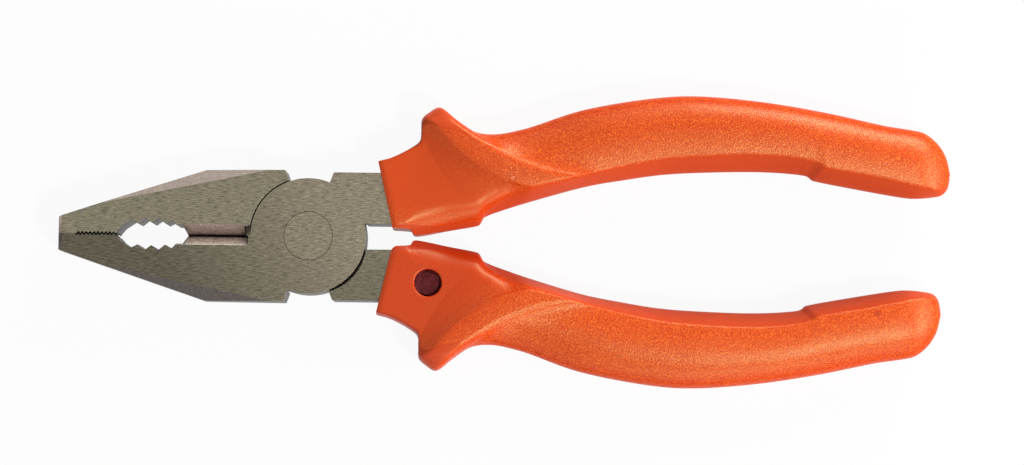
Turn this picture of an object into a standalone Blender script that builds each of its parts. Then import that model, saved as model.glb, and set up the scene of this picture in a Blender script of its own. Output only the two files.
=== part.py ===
"""Combination pliers: two forged lap-jointed halves, one rivet and two moulded grips.

Sizes below are millimetres and angles are degrees. The jaws point to -X, the handles to +X, and
the pivot axis is Z. Each half is drawn about the pivot at the middle of the head's thickness, as
the one that has its disc in front (+Z), its jaw below (-Y) and its handle above (+Y). The other
half is the same forging turned over about X, with its fine teeth half a pitch further on.
"""

import math

import bmesh
import bpy
import numpy as np
from mathutils import Matrix, Vector

MM = 0.001

# Head
HEAD_THICKNESS = 10.0
DISC_RADIUS = 11.63
DISC_CLEARANCE = 0.25
LAP_CLEARANCE = 0.10
OPENING_ANGLE = 40.0
STOP_CLEARANCE_ANGLE = 1.0
JAW_END_ANGLE = 109.8
NOTCH_DEPTH = 1.6
SHOULDER_HEIGHT = 1.25

# Jaws, measured from the pivot
JAW_LENGTH = 50.3
JAW_GAP = 0.06
KNEE_DISTANCE = 20.85
TIP_HALF_WIDTH = 3.35
TIP_CHAMFER = 0.75
FACET_FROM_TIP = 8.3
FACET_FROM_PIVOT = 7.8
FACET_SLOPE = 45.0

# Side cutter, from the disc towards the tip
CUTTER_END = 24.5
CUTTER_BEVEL = 2.05
CUTTER_LAND = 0.3
CUTTER_WALL = 0.4
CORNER_RELIEF_LENGTH = 1.25
CORNER_RELIEF_DEPTH = 1.8

# Pipe grip: V grooves whose roots and the tips between them lie on two ellipses
PIPE_LENGTH = 14.0
PIPE_ELLIPSE_HALF_LENGTH = 8.0
PIPE_TIP_HEIGHT = 2.25
PIPE_ROOT_HEIGHT = 3.3
PIPE_ROOT_PITCH = 2.75
PIPE_ROOTS = 4
PIPE_LAND_SETBACK = 0.8
PIPE_LAND_LENGTH = 1.2
PIPE_LAND_HEIGHT = 1.85
PIPE_END_LENGTH = 0.9
PIPE_END_HEIGHT = 1.5

# Fine serrations between the pipe grip and the tip
SERRATION_PITCH = 0.79
SERRATION_DEPTH = 0.45
SERRATION_FROM_PIPE = 0.2
TIP_LAND = 3.8

# Rivet, flush with both faces of the head
RIVET_HEAD_RADIUS = 4.85
RIVET_HEAD_DEPTH = 2.2
RIVET_SHANK_RADIUS = 3.4
RIVET_CLEARANCE = 0.08

# Tangs, which leave the head side by side and run on inside the grips
TANG_GAP = 5.2
TANG_PLAIN_LENGTH = 3.4
TANG_RISES = ((20.0, 4.3), (33.0, 8.8), (49.0, 13.3), (66.0, 14.9), (86.0, 13.6), (99.0, 10.7))
TANG_STEP = 0.2
TANG_CHAMFER = 2.0
TANG_END_WIDTH = 6.0
TANG_END_THINNING = 4.0
TANG_TAPER_POWER = 0.7
TANG_SECTIONS = 16

# Grips, measured from the mouth along the handle
MOUTH_SETBACK = 2.17
GRIP_LENGTH = 116.0
LOWER_GRIP_SHORTER_BY = 1.8
STRETCH_FROM = 20.0
GRIP_CLEARANCE = 0.3
WEB_WALL = 0.9
RIDGE_RISE = 1.5
BODY_RISE = 0.85
TAIL_RISE = 0.25
TAIL_END_RADIUS = 6.0
RIDGE_BOW = 1.6
LOCATING_HOLE_DIAMETER = 5.45
LOCATING_HOLE_FROM_MOUTH = 10.4
LOCATING_HOLE_FROM_TANG_EDGE = 6.6

# Outer edge of the grip: distance from the mouth, height over the tang's outer edge
GRIP_OUTER = (
    (0.0, 2.7), (2.8, 3.5), (6.8, 5.6), (8.3, 6.9), (8.6, 9.0), (8.8, 11.1), (10.2, 12.4),
    (12.1, 13.6), (14.9, 11.6), (18.9, 9.0), (23.0, 8.4), (29.0, 9.5), (41.2, 13.6), (57.4, 16.5),
    (65.2, 16.8), (77.6, 15.7), (90.0, 13.7), (101.8, 11.2), (107.0, 10.4), (109.5, 9.8),
    (112.0, 7.9), (113.8, 5.2), (114.8, 1.4),
)
# Inner edge of the grip: distance from the mouth, height over the tang's inner edge
GRIP_INNER = (
    (3.1, -0.8), (6.8, -1.1), (7.6, -2.05), (14.7, -0.8), (20.0, 0.1), (21.1, 0.75), (21.7, 1.9),
    (27.8, 4.2), (33.9, 6.1), (42.4, 8.45), (49.4, 9.75), (57.4, 10.95), (67.4, 11.55),
    (77.2, 11.7), (83.5, 11.35), (86.5, 10.75), (88.2, 10.0), (98.0, 8.1), (106.0, 6.8),
    (110.5, 6.9), (112.8, 7.4), (114.0, 8.5), (114.75, 10.8),
)
# Sections across the grip: point on the outer edge, point on the inner edge, height over the web,
# crown (0 flat, 1 round), bow of the section line as a share of the ridge's, width of the inner
# facet, height of the upright inner wall below the facet as a share of the section's
GRIP_SECTIONS = (
    (0.0, 0.0, 0.0, 0.0, 0.0, 0.8, 0.92),
    (1.0, 1.0, 0.0, 0.0, 0.1, 2.0, 0.7),
    (1.4, 2.0, 0.0, 0.0, 0.2, 3.3, 0.36),
    (2.0, 3.0, 0.0, 0.0, 0.4, 3.6, 0.28),
    (3.0, 4.0, 0.0, 0.0, 0.6, 3.8, 0.24),
    (4.0, 5.0, 0.0, 0.0, 0.7, 3.9, 0.22),
    (5.0, 6.3, 0.0, 0.0, 0.8, 3.4, 0.18),
    (6.0, 7.0, 0.0, 0.2, 1.0, 3.0, 0.16),
    (7.0, 7.6, RIDGE_RISE, 0.5, 1.0, 2.9, 0.15),
    (9.0, 8.2, 1.2, 0.8, 0.9, 2.6, 0.12),
    (10.0, 8.6, 1.0, 1.0, 0.6, 2.4, 0.12),
    (11.0, 9.2, BODY_RISE, 1.0, 0.3, 2.4, 0.12),
    (12.0, 10.3, BODY_RISE, 1.0, 0.0, 2.6, 0.12),
    (13.0, 11.5, BODY_RISE, 1.0, 0.0, 2.9, 0.12),
    (14.0, 12.1, BODY_RISE, 1.0, 0.0, 3.1, 0.12),
    (15.0, 13.0, BODY_RISE, 1.0, 0.0, 3.3, 0.12),
    (15.7, 15.0, 0.7, 1.0, 0.0, 3.5, 0.12),
    (15.85, 16.0, 0.7, 1.0, 0.0, 3.9, 0.12),
    (17.0, 17.3, TAIL_RISE, 1.0, 0.0, 2.6, 0.15),
    (18.0, 18.0, TAIL_RISE, 1.0, 0.0, 1.9, 0.2),
    (19.0, 19.0, TAIL_RISE, 1.0, 0.0, 1.3, 0.25),
    (20.0, 20.0, TAIL_RISE, 1.0, 0.0, 0.9, 0.3),
    (21.0, 21.0, TAIL_RISE, 1.0, 0.0, 0.5, 0.4),
    (22.0, 22.0, TAIL_RISE, 1.0, 0.0, 0.2, 0.5),
)
# Shape across a section, for a flat one and for a fully crowned one: share of the width in which
# the outer edge rounds off, power of that rounding, power of the fall to the crease, crease height
FLAT_SHAPE = (0.18, 2.0, 6.0, 0.93)
CROWNED_SHAPE = (0.5, 2.2, 2.4, 0.85)
FACET_BULGE_AT = 0.55
FACET_BULGE_HEIGHT = 0.55
LEAST_TAIL = 0.1
SECTION_STEP = 2.4
SECTION_POINTS = 9
EDGE_CROWDING = 1.5

# Round faces
DISC_STEP_ANGLE = 4.0
RIVET_SIDES = 72
HOLE_SIDES = 32
OVERCUT = 1.0
SHARP_EDGE_ANGLE = 30.0

# Plain colours, as red, green and blue shares
STEEL_COLOUR = (0.27, 0.25, 0.21)
RIVET_COLOUR = (0.28, 0.26, 0.22)
GRIP_COLOUR = (0.80, 0.12, 0.03)

# Worked out from the sizes above
HALF = HEAD_THICKNESS / 2
EDGE = JAW_GAP / 2
TANG_TOP = DISC_RADIUS + SHOULDER_HEIGHT
TANG_BOTTOM = TANG_GAP / 2
TANG_MIDDLE = (TANG_TOP + TANG_BOTTOM) / 2
TANG_WIDTH = TANG_TOP - TANG_BOTTOM
MOUTH_X = DISC_RADIUS + MOUTH_SETBACK
SHOULDER_ANGLE = JAW_END_ANGLE - OPENING_ANGLE - STOP_CLEARANCE_ANGLE
JAW_RADIUS = DISC_RADIUS + NOTCH_DEPTH
PIPE_START = CUTTER_END
PIPE_END = PIPE_START + PIPE_LENGTH
WEB_HALF = HALF + GRIP_CLEARANCE + WEB_WALL


def polar(radius, degrees):
    """Plan point at a radius and angle from the pivot."""
    return radius * math.cos(math.radians(degrees)), radius * math.sin(math.radians(degrees))


def arc(radius, start, stop):
    """Plan points along an arc about the pivot, both ends included."""
    steps = max(2, math.ceil(abs(stop - start) / DISC_STEP_ANGLE))
    return [polar(radius, start + (stop - start) * i / steps) for i in range(steps + 1)]


def spline(points):
    """A smooth curve through plan points, as a function of the point's number in the list."""
    points = np.array(points, float)
    ends = 2 * points[0] - points[1], 2 * points[-1] - points[-2]
    padded = np.vstack([ends[0], points, ends[1]])
    knots = np.concatenate([[0], np.cumsum(np.linalg.norm(np.diff(padded, axis=0), axis=1) ** 0.5)])

    def at(number):
        first = min(int(number), len(points) - 2)
        p, k = padded[first:first + 4], knots[first:first + 4]
        t = k[1] + (number - first) * (k[2] - k[1])
        for span in (1, 2, 3):
            p = [
                p[i] + (p[i + 1] - p[i]) * (t - k[low]) / (k[low + width] - k[low])
                for i, low, width in blend_order(span)
            ]
        return p[0]

    return at


def blend_order(span):
    """Point number, first knot and knot distance for one round of the spline's blending."""
    if span == 1:
        return ((0, 0, 1), (1, 1, 1), (2, 2, 1))
    if span == 2:
        return ((0, 0, 2), (1, 1, 2))
    return ((0, 1, 1),)


def monotone(rows):
    """A smooth function of the row number through rows of values, with no overshoot."""
    rows = np.array(rows, float)
    steps = np.diff(rows, axis=0)
    product = steps[:-1] * steps[1:]
    total = steps[:-1] + steps[1:]
    inside = np.where(product > 0, 2 * product / np.where(total == 0, 1, total), 0)
    slopes = np.vstack([steps[0], inside, steps[-1]])

    def at(number):
        first = min(int(number), len(rows) - 2)
        t = number - first
        turn = t * t * (3 - 2 * t)
        value = rows[first] * (1 - turn) + rows[first + 1] * turn
        return value + t * (1 - t) * (slopes[first] * (1 - t) - slopes[first + 1] * t)

    return at


def pipe_edge():
    """The pipe grip's edge on the lower jaw, from the cutter towards the tip."""
    centre = (PIPE_START + PIPE_END) / 2
    land = PIPE_START + PIPE_LAND_SETBACK
    points = [(-land, -PIPE_LAND_HEIGHT), (-land - PIPE_LAND_LENGTH, -PIPE_LAND_HEIGHT)]
    for step in range(2 * PIPE_ROOTS - 1):
        offset = (PIPE_ROOTS - 1 - step) * PIPE_ROOT_PITCH / 2
        height = PIPE_ROOT_HEIGHT if step % 2 == 0 else PIPE_TIP_HEIGHT
        depth = height * math.sqrt(max(0.0, 1 - (offset / PIPE_ELLIPSE_HALF_LENGTH) ** 2))
        points.append((offset - centre, -depth))
    points.append((PIPE_END_LENGTH - PIPE_END, -PIPE_END_HEIGHT))
    points.append((-PIPE_END, -SERRATION_DEPTH - EDGE))
    return points


def serration_edge(tip_first):
    """The fine teeth on the lower jaw, from the pipe grip towards the tip."""
    start = PIPE_END + SERRATION_FROM_PIPE
    count = max(0, round((JAW_LENGTH - TIP_LAND - start) / SERRATION_PITCH))
    points = []
    for step in range(2 * count + 1):
        is_tip = (step % 2 == 0) == tip_first
        depth = EDGE if is_tip else EDGE + SERRATION_DEPTH
        points.append((-start - step * SERRATION_PITCH / 2, -depth))
    points.append((points[-1][0] - SERRATION_FROM_PIPE, -EDGE))
    return points


def half_outline(tip_first):
    """Plan outline of a half as far as its grip, counter-clockwise."""
    tang_end = MOUTH_X + TANG_PLAIN_LENGTH
    window_angle = math.degrees(math.asin(TANG_BOTTOM / DISC_RADIUS))
    cutter_angle = 180 + math.degrees(math.asin(EDGE / DISC_RADIUS))
    jaw_end = polar(JAW_RADIUS / math.sin(math.radians(JAW_END_ANGLE)), -JAW_END_ANGLE)
    shoulder = polar(TANG_TOP / math.sin(math.radians(SHOULDER_ANGLE)), SHOULDER_ANGLE)
    outline = [(-JAW_LENGTH, -TIP_HALF_WIDTH), (-KNEE_DISTANCE, -JAW_RADIUS), jaw_end]
    outline += arc(DISC_RADIUS, -JAW_END_ANGLE, window_angle)
    outline += [(tang_end, TANG_BOTTOM), (tang_end, TANG_TOP), shoulder]
    outline += arc(DISC_RADIUS, SHOULDER_ANGLE, cutter_angle)
    outline += [(-CUTTER_END, -EDGE)] + pipe_edge() + serration_edge(tip_first)
    outline += [(-JAW_LENGTH, -EDGE)]
    return outline


def along(distance, length):
    """Distance from the mouth on a grip of some length: the guard keeps its size, the rest stretches."""
    drawn = GRIP_OUTER[-1][0]
    stretch = (length - STRETCH_FROM) / (drawn - STRETCH_FROM)
    return distance if distance < STRETCH_FROM else STRETCH_FROM + (distance - STRETCH_FROM) * stretch


def hidden_tang(clearance):
    """The chamfered, tapering bar inside the grip, or the room for it where it is grown."""
    path = [(0.0, 0.0), (TANG_PLAIN_LENGTH, 0.0)] + list(TANG_RISES)
    curve = spline([(along(distance, GRIP_LENGTH), rise) for distance, rise in path])
    rings = []
    for step in range(TANG_SECTIONS + 1):
        share = step / TANG_SECTIONS
        distance, rise = curve(share * (len(path) - 1))
        taper = share ** TANG_TAPER_POWER
        start_width = TANG_WIDTH - 2 * TANG_STEP
        half_width = (start_width + (TANG_END_WIDTH - start_width) * taper) / 2 + clearance
        half_depth = HALF - TANG_STEP - TANG_END_THINNING / 2 * taper + clearance
        x = MOUTH_X + distance + (clearance if step == TANG_SECTIONS else 0.0)
        y = TANG_MIDDLE + rise
        section = chamfered(half_width, half_depth, TANG_CHAMFER)
        rings.append([Vector((x, y + across, depth)) for across, depth in section])
    bm = bmesh.new()
    skin(bm, rings)
    return bm


def chamfered(half_width, half_depth, chamfer):
    """The eight corners of a rectangle whose corners are cut off."""
    a, b = half_width - chamfer, half_depth - chamfer
    quarter = [(half_width, b), (a, half_depth)]
    half = quarter + [(-x, y) for x, y in quarter[::-1]]
    return half + [(-x, -y) for x, y in half]


def grip_ring(outer, inner, top, crown, bow, facet, wall):
    """One closed section of a grip, from its outer edge over the front face and back underneath."""
    line = inner - outer
    length = np.linalg.norm(line)
    side = np.array([line[1], -line[0]]) / length
    shape = [flat + (round_ - flat) * crown for flat, round_ in zip(FLAT_SHAPE, CROWNED_SHAPE)]
    crease_share = 1 - facet / length
    crease_height = top * shape[3]
    wall_height = top * wall
    front = []
    for step in range(SECTION_POINTS + 1):
        across = (step / SECTION_POINTS) ** EDGE_CROWDING
        place = outer + line * across * crease_share + side * bow * 4 * across * (1 - across)
        front.append((*place, grip_height(across, top, shape)))
    bulge = outer + line * (crease_share + (1 - crease_share) * FACET_BULGE_AT)
    front.append((*bulge, crease_height + (wall_height - crease_height) * (1 - FACET_BULGE_HEIGHT)))
    front.append((*inner, wall_height))
    back = [(x, y, -z) for x, y, z in front[:0:-1]]
    return [Vector(point) for point in front + back]


def grip_height(across, top, shape):
    """Half thickness of a grip at a share of the way from its outer edge to its crease."""
    edge_share, edge_power, fall_power, crease = shape
    if across < edge_share:
        return top * (1 - (1 - across / edge_share) ** edge_power) ** (1 / edge_power)
    fall = ((across - edge_share) / (1 - edge_share)) ** fall_power
    return top * (1 - (1 - crease) * fall)


def grip_rings(length):
    """All sections of a grip of some length, from its mouth to its tail."""
    outer = spline([(MOUTH_X + along(u, length), TANG_TOP + rise) for u, rise in GRIP_OUTER])
    inner = spline([(MOUTH_X + along(u, length), TANG_BOTTOM + rise) for u, rise in GRIP_INNER])
    section = monotone(GRIP_SECTIONS)
    rings = []
    for row in range(len(GRIP_SECTIONS) - 1):
        near, far = GRIP_SECTIONS[row], GRIP_SECTIONS[row + 1]
        outer_span = np.linalg.norm(outer(far[0]) - outer(near[0]))
        inner_span = np.linalg.norm(inner(far[1]) - inner(near[1]))
        steps = max(1, round(max(outer_span, inner_span) / SECTION_STEP))
        rings += [grip_section(outer, inner, section(row + i / steps), length) for i in range(steps)]
    rings.append(grip_section(outer, inner, section(len(GRIP_SECTIONS) - 1), length))
    return rings


def grip_section(outer, inner, values, length):
    """The ring at one section of a grip, thinned where the tail rounds off."""
    at_outer, at_inner, rise, crown, bow, facet, wall = values
    edges = outer(at_outer), inner(at_inner)
    to_end = max(LEAST_TAIL, MOUTH_X + length - (edges[0][0] + edges[1][0]) / 2)
    lean = 1 - min(1.0, to_end / TAIL_END_RADIUS)
    top = (WEB_HALF + rise) * math.sqrt(1 - lean ** 2)
    return grip_ring(*edges, top, crown, bow * RIDGE_BOW, facet, wall)


def skin(bm, rings):
    """A closed skin over rings with as many points, with flat ends."""
    loops = [[bm.verts.new(point) for point in ring] for ring in rings]
    for near, far in zip(loops, loops[1:]):
        for i in range(len(near)):
            j = (i + 1) % len(near)
            bm.faces.new((near[i], near[j], far[j], far[i]))
    bm.faces.new(loops[0][::-1])
    bm.faces.new(loops[-1])


def prism(outline, z_low, z_high):
    """A plan outline carried from one height to another."""
    bm = bmesh.new()
    skin(bm, [[Vector((x, y, z)) for x, y in outline] for z in (z_low, z_high)])
    return bm


def cylinder(radius, z_low, z_high, sides, x=0.0, y=0.0):
    """A round bar along Z."""
    step = 360 / sides
    circle = [polar(radius, i * step) for i in range(sides)]
    return prism([(x + a, y + b) for a, b in circle], z_low, z_high)


def turned(profile, sides):
    """A solid of revolution about Z from points of radius and height, bottom to top."""
    bm = bmesh.new()
    rings = []
    for radius, z in profile:
        points = [polar(radius, i * 360 / sides) for i in range(sides)]
        rings.append([Vector((x, y, z)) for x, y in points])
    skin(bm, rings)
    return bm


def rivet_profile(clearance, overcut):
    """Radius and height along the rivet, or along the bore that it turns in."""
    head = RIVET_HEAD_RADIUS + clearance
    shank = RIVET_SHANK_RADIUS + clearance
    step = HALF - RIVET_HEAD_DEPTH - clearance
    end = HALF + overcut
    return (head, -end), (head, -step), (shank, -step), (shank, step), (head, step), (head, end)


def disc_relief():
    """The room behind a half's own disc, in which the other half's disc turns."""
    sides = round(360 / DISC_STEP_ANGLE)
    return cylinder(DISC_RADIUS + DISC_CLEARANCE, -HALF - OVERCUT, LAP_CLEARANCE / 2, sides)


def corner_relief():
    """The corner cleared off the jaw behind the disc, at the root of the cutter."""
    left, right = -DISC_RADIUS - CORNER_RELIEF_LENGTH, -DISC_RADIUS + OVERCUT
    low, high = -CORNER_RELIEF_DEPTH, OVERCUT
    outline = [(left, low), (right, low), (right, high), (left, high)]
    return prism(outline, -HALF - OVERCUT, -CUTTER_LAND)


def cutter_bevel(side):
    """The wedge ground off the cutter on one face; side is 1 in front and -1 behind."""
    start = -CUTTER_END - OVERCUT - CUTTER_BEVEL
    stop = -DISC_RADIUS - CUTTER_WALL if side > 0 else -DISC_RADIUS + OVERCUT
    slope = (HALF - CUTTER_LAND / 2) / (CUTTER_BEVEL - EDGE)
    reach = CUTTER_BEVEL + OVERCUT
    top = CUTTER_LAND / 2 + (reach - EDGE) * slope
    low = CUTTER_LAND / 2 - 2 * EDGE * slope
    section = [(EDGE, low), (EDGE, top), (-reach, top)]
    bm = bmesh.new()
    skin(bm, [[Vector((x, y, side * z)) for y, z in section] for x in (start, stop)])
    return bm


def edge_cut(start, stop, slope, side):
    """A flat cut that slopes off one face along a plan line, outside (left of) the line."""
    start, stop = Vector((*start, 0.0)), Vector((*stop, 0.0))
    direction = (stop - start).normalized()
    outward = Vector((-direction.y, direction.x, 0.0))
    reach = HEAD_THICKNESS
    fall = reach * math.tan(math.radians(slope))
    over = OVERCUT / math.tan(math.radians(slope))
    section = [(-over, HALF + OVERCUT), (reach, HALF - fall), (reach, HALF + OVERCUT)]
    ends = (start - direction * reach, stop + direction * reach)
    rings = [[end + outward * a + Vector((0, 0, side * z)) for a, z in section] for end in ends]
    bm = bmesh.new()
    skin(bm, rings)
    return bm


def jaw_facet(side):
    """The wide facet along the jaw's outer edge, on one face."""
    slope = (JAW_RADIUS - TIP_HALF_WIDTH) / (JAW_LENGTH - KNEE_DISTANCE)
    near_tip = (FACET_FROM_TIP - JAW_LENGTH, -TIP_HALF_WIDTH - FACET_FROM_TIP * slope)
    return edge_cut((-FACET_FROM_PIVOT, -JAW_RADIUS), near_tip, FACET_SLOPE, side)


def tip_chamfer(side):
    """The small chamfer across the end of the jaw, on one face."""
    x = TIP_CHAMFER - JAW_LENGTH
    return edge_cut((x, -TIP_HALF_WIDTH), (x, 0.0), FACET_SLOPE, side)


def locating_hole():
    """The hole that the mould's pin leaves in the back of a grip, down to the tang."""
    x = MOUTH_X + LOCATING_HOLE_FROM_MOUTH
    y = TANG_BOTTOM + LOCATING_HOLE_FROM_TANG_EDGE
    low, high = -WEB_HALF - OVERCUT, -HALF + OVERCUT
    return cylinder(LOCATING_HOLE_DIAMETER / 2, low, high, HOLE_SIDES, x, y)


def mouth_pocket():
    """The room in a grip's mouth for the plain end of the tang."""
    low, high = TANG_BOTTOM - GRIP_CLEARANCE, TANG_TOP + GRIP_CLEARANCE
    end = MOUTH_X + TANG_PLAIN_LENGTH + GRIP_CLEARANCE
    outline = [(DISC_RADIUS, low), (end, low), (end, high), (DISC_RADIUS, high)]
    return prism(outline, -HALF - GRIP_CLEARANCE, HALF + GRIP_CLEARANCE)


def material(name, colour, metallic, roughness):
    """A plain Principled material."""
    result = bpy.data.materials.new(name)
    result.use_nodes = True
    shader = result.node_tree.nodes["Principled BSDF"]
    shader.inputs["Base Color"].default_value = (*colour, 1.0)
    shader.inputs["Metallic"].default_value = metallic
    shader.inputs["Roughness"].default_value = roughness
    return result


def add(name, bm, look, parent):
    """An object from a mesh drawn in millimetres."""
    bmesh.ops.recalc_face_normals(bm, faces=bm.faces)
    bm.transform(Matrix.Scale(MM, 4))
    mesh = bpy.data.meshes.new(name)
    bm.to_mesh(mesh)
    bm.free()
    obj = bpy.data.objects.new(name, mesh)
    bpy.context.scene.collection.objects.link(obj)
    obj.parent = parent
    if look:
        mesh.materials.append(look)
        mesh.shade_smooth()
        mesh.set_sharp_from_angle(angle=math.radians(SHARP_EDGE_ANGLE))
    return obj


def combine(target, name, bm, operation="DIFFERENCE"):
    """Takes a shape, drawn in the target's own frame, out of the target or joins it on."""
    tool = add(f"{target.name}_{name}_tool", bm, None, target)
    tool.hide_render = True
    tool.display_type = "WIRE"
    modifier = target.modifiers.new(name, "BOOLEAN")
    modifier.operation = operation
    modifier.solver = "EXACT"
    modifier.object = tool


def add_half(name, tip_first, look, parent):
    """A forged half with its tang, lap, bore, cutter and facets."""
    half = add(name, prism(half_outline(tip_first), -HALF, HALF), look, parent)
    combine(half, "hidden_tang", hidden_tang(0.0), "UNION")
    combine(half, "disc_relief", disc_relief())
    combine(half, "rivet_bore", turned(rivet_profile(RIVET_CLEARANCE, OVERCUT), RIVET_SIDES))
    combine(half, "corner_relief", corner_relief())
    for side, face in ((1, "front"), (-1, "back")):
        combine(half, f"{face}_cutter_bevel", cutter_bevel(side))
        combine(half, f"{face}_jaw_facet", jaw_facet(side))
        combine(half, f"{face}_tip_chamfer", tip_chamfer(side))
    return half


def add_grip(name, length, look, half):
    """A moulded grip on a half's tang."""
    bm = bmesh.new()
    skin(bm, grip_rings(length))
    grip = add(name, bm, look, half)
    combine(grip, "mouth_pocket", mouth_pocket())
    combine(grip, "tang_room", hidden_tang(GRIP_CLEARANCE))
    combine(grip, "locating_hole", locating_hole())
    return grip


def main():
    for obj in list(bpy.data.objects):
        bpy.data.objects.remove(obj)
    steel = material("brushed_steel", STEEL_COLOUR, metallic=1.0, roughness=0.42)
    rivet_steel = material("rivet_steel", RIVET_COLOUR, metallic=1.0, roughness=0.40)
    plastic = material("orange_plastic", GRIP_COLOUR, metallic=0.0, roughness=0.45)

    pivot = bpy.data.objects.new("pivot", None)
    bpy.context.scene.collection.objects.link(pivot)
    pivot.location = (0.0, 0.0, HALF * MM)

    front_half = add_half("front_half", False, steel, pivot)
    rear_half = add_half("rear_half", True, steel, pivot)
    rear_half.rotation_euler = (math.pi, 0.0, 0.0)
    add("pivot_rivet", turned(rivet_profile(0.0, 0.0), RIVET_SIDES), rivet_steel, pivot)
    add_grip("upper_grip", GRIP_LENGTH, plastic, front_half)
    add_grip("lower_grip", GRIP_LENGTH - LOWER_GRIP_SHORTER_BY, plastic, rear_half)


main()
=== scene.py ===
"""The look of a pair of combination pliers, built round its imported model.

Sizes are millimetres and angles are degrees. Shapes are drawn in millimetres and scaled to metres
when their objects are made. Each grip is drawn as the upper one, about the pivot at the middle of
the head's thickness; the lower grip is the same moulding turned over about X.
"""

import math

import bmesh
import bpy
import numpy as np
from mathutils import Matrix, Vector


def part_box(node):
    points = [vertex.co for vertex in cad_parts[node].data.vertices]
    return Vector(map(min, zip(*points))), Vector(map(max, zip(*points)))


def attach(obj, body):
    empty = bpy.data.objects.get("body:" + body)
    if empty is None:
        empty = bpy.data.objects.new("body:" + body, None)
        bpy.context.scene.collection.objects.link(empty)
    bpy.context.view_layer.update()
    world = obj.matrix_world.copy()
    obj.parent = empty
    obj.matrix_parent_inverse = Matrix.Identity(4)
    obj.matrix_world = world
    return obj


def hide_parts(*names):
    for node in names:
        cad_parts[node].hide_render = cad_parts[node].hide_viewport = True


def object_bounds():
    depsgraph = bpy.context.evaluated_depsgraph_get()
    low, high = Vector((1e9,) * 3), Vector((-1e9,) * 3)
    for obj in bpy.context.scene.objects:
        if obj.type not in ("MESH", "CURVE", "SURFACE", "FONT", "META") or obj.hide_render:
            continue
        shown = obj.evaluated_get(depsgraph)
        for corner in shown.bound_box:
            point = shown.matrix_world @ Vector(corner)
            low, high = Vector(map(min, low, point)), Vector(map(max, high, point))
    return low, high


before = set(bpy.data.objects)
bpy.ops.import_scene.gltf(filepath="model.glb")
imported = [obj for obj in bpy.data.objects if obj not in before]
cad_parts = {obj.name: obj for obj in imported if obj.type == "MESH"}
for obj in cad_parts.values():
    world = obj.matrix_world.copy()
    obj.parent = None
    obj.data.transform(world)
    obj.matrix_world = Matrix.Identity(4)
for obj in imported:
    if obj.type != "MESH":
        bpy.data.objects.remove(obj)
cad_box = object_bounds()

MM = 0.001

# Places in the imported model
HEAD_LOW, HEAD_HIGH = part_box("pivot_rivet")
HALF = (HEAD_HIGH.z - HEAD_LOW.z) / 2 / MM
MIDDLE_Z = (HEAD_HIGH.z + HEAD_LOW.z) / 2 / MM
FLOOR_Z = cad_box[0].z / MM
MOUTH_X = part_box("upper_grip")[0].x / MM
# Outer and inner edge of the upper tang at the mouth
TANG_TOP = 12.88
TANG_BOTTOM = 2.6

# Camera of the photograph
CAMERA_TARGET = (41.0, 1.15, 10.0)
CAMERA_DISTANCE = 651.6
CAMERA_TILT = 3.7
CAMERA_ROLL = 0.7
CAMERA_LENS = 113.9
SENSOR_WIDTH = 36.0
CAMERA_NEAR = 10.0

# Grip: outer edge as distance from the mouth and height over the tang's outer edge
GRIP_OUTER = (
    (0.0, 2.7), (2.8, 3.5), (6.8, 5.6), (8.3, 6.9), (8.5, 9.0), (8.65, 11.4), (10.0, 12.75),
    (12.15, 13.85), (15.0, 11.75), (18.9, 9.1), (23.0, 8.5), (29.0, 9.6), (41.2, 13.7), (57.4, 16.5),
    (65.2, 16.75), (77.6, 15.7), (90.0, 13.7), (101.8, 11.2), (107.0, 10.4), (109.5, 9.8),
    (112.0, 7.9), (113.8, 5.2), (114.8, 1.4),
)
# Grip: crease between its top and its inner facet, as distance from the mouth and height over the
# tang's inner edge
GRIP_CREASE = (
    (3.0, 0.0), (6.3, 0.45), (6.9, 0.75), (8.2, 1.2), (14.7, 2.15), (20.3, 2.85), (21.6, 3.4),
    (24.2, 5.4), (27.6, 7.6), (31.3, 7.85), (36.0, 8.9), (41.2, 10.3), (49.3, 12.25), (57.4, 13.88),
    (65.4, 14.6), (73.5, 14.93), (81.6, 14.6), (86.0, 13.85), (87.6, 13.45), (88.2, 13.2),
    (89.0, 12.6), (90.0, 12.3), (98.2, 11.0), (105.0, 9.6), (109.0, 8.8), (111.8, 8.4), (113.4, 9.2),
    (114.5, 11.0),
)
# Grip: inner edge as distance from the mouth and height over the tang's inner edge
GRIP_INNER = (
    (3.1, -0.8), (6.3, -1.05), (6.85, -1.2), (7.2, -1.95), (7.7, -2.14), (14.7, -0.95), (19.9, 0.0),
    (20.55, 0.25), (21.0, 0.95), (21.35, 1.65), (22.0, 2.1), (27.8, 4.2), (33.9, 6.1), (42.4, 8.45),
    (49.4, 9.75), (57.4, 10.95), (67.4, 11.55), (77.2, 11.7), (83.5, 11.35), (85.7, 11.05),
    (86.35, 10.8), (87.0, 10.2), (87.8, 9.95), (98.0, 8.05), (105.5, 6.85), (107.5, 6.7),
    (110.5, 6.9), (113.0, 7.4), (114.1, 8.5), (114.75, 10.8),
)
STRETCH_FROM = 20.0
WEB_HALF = HALF + 0.55
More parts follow.
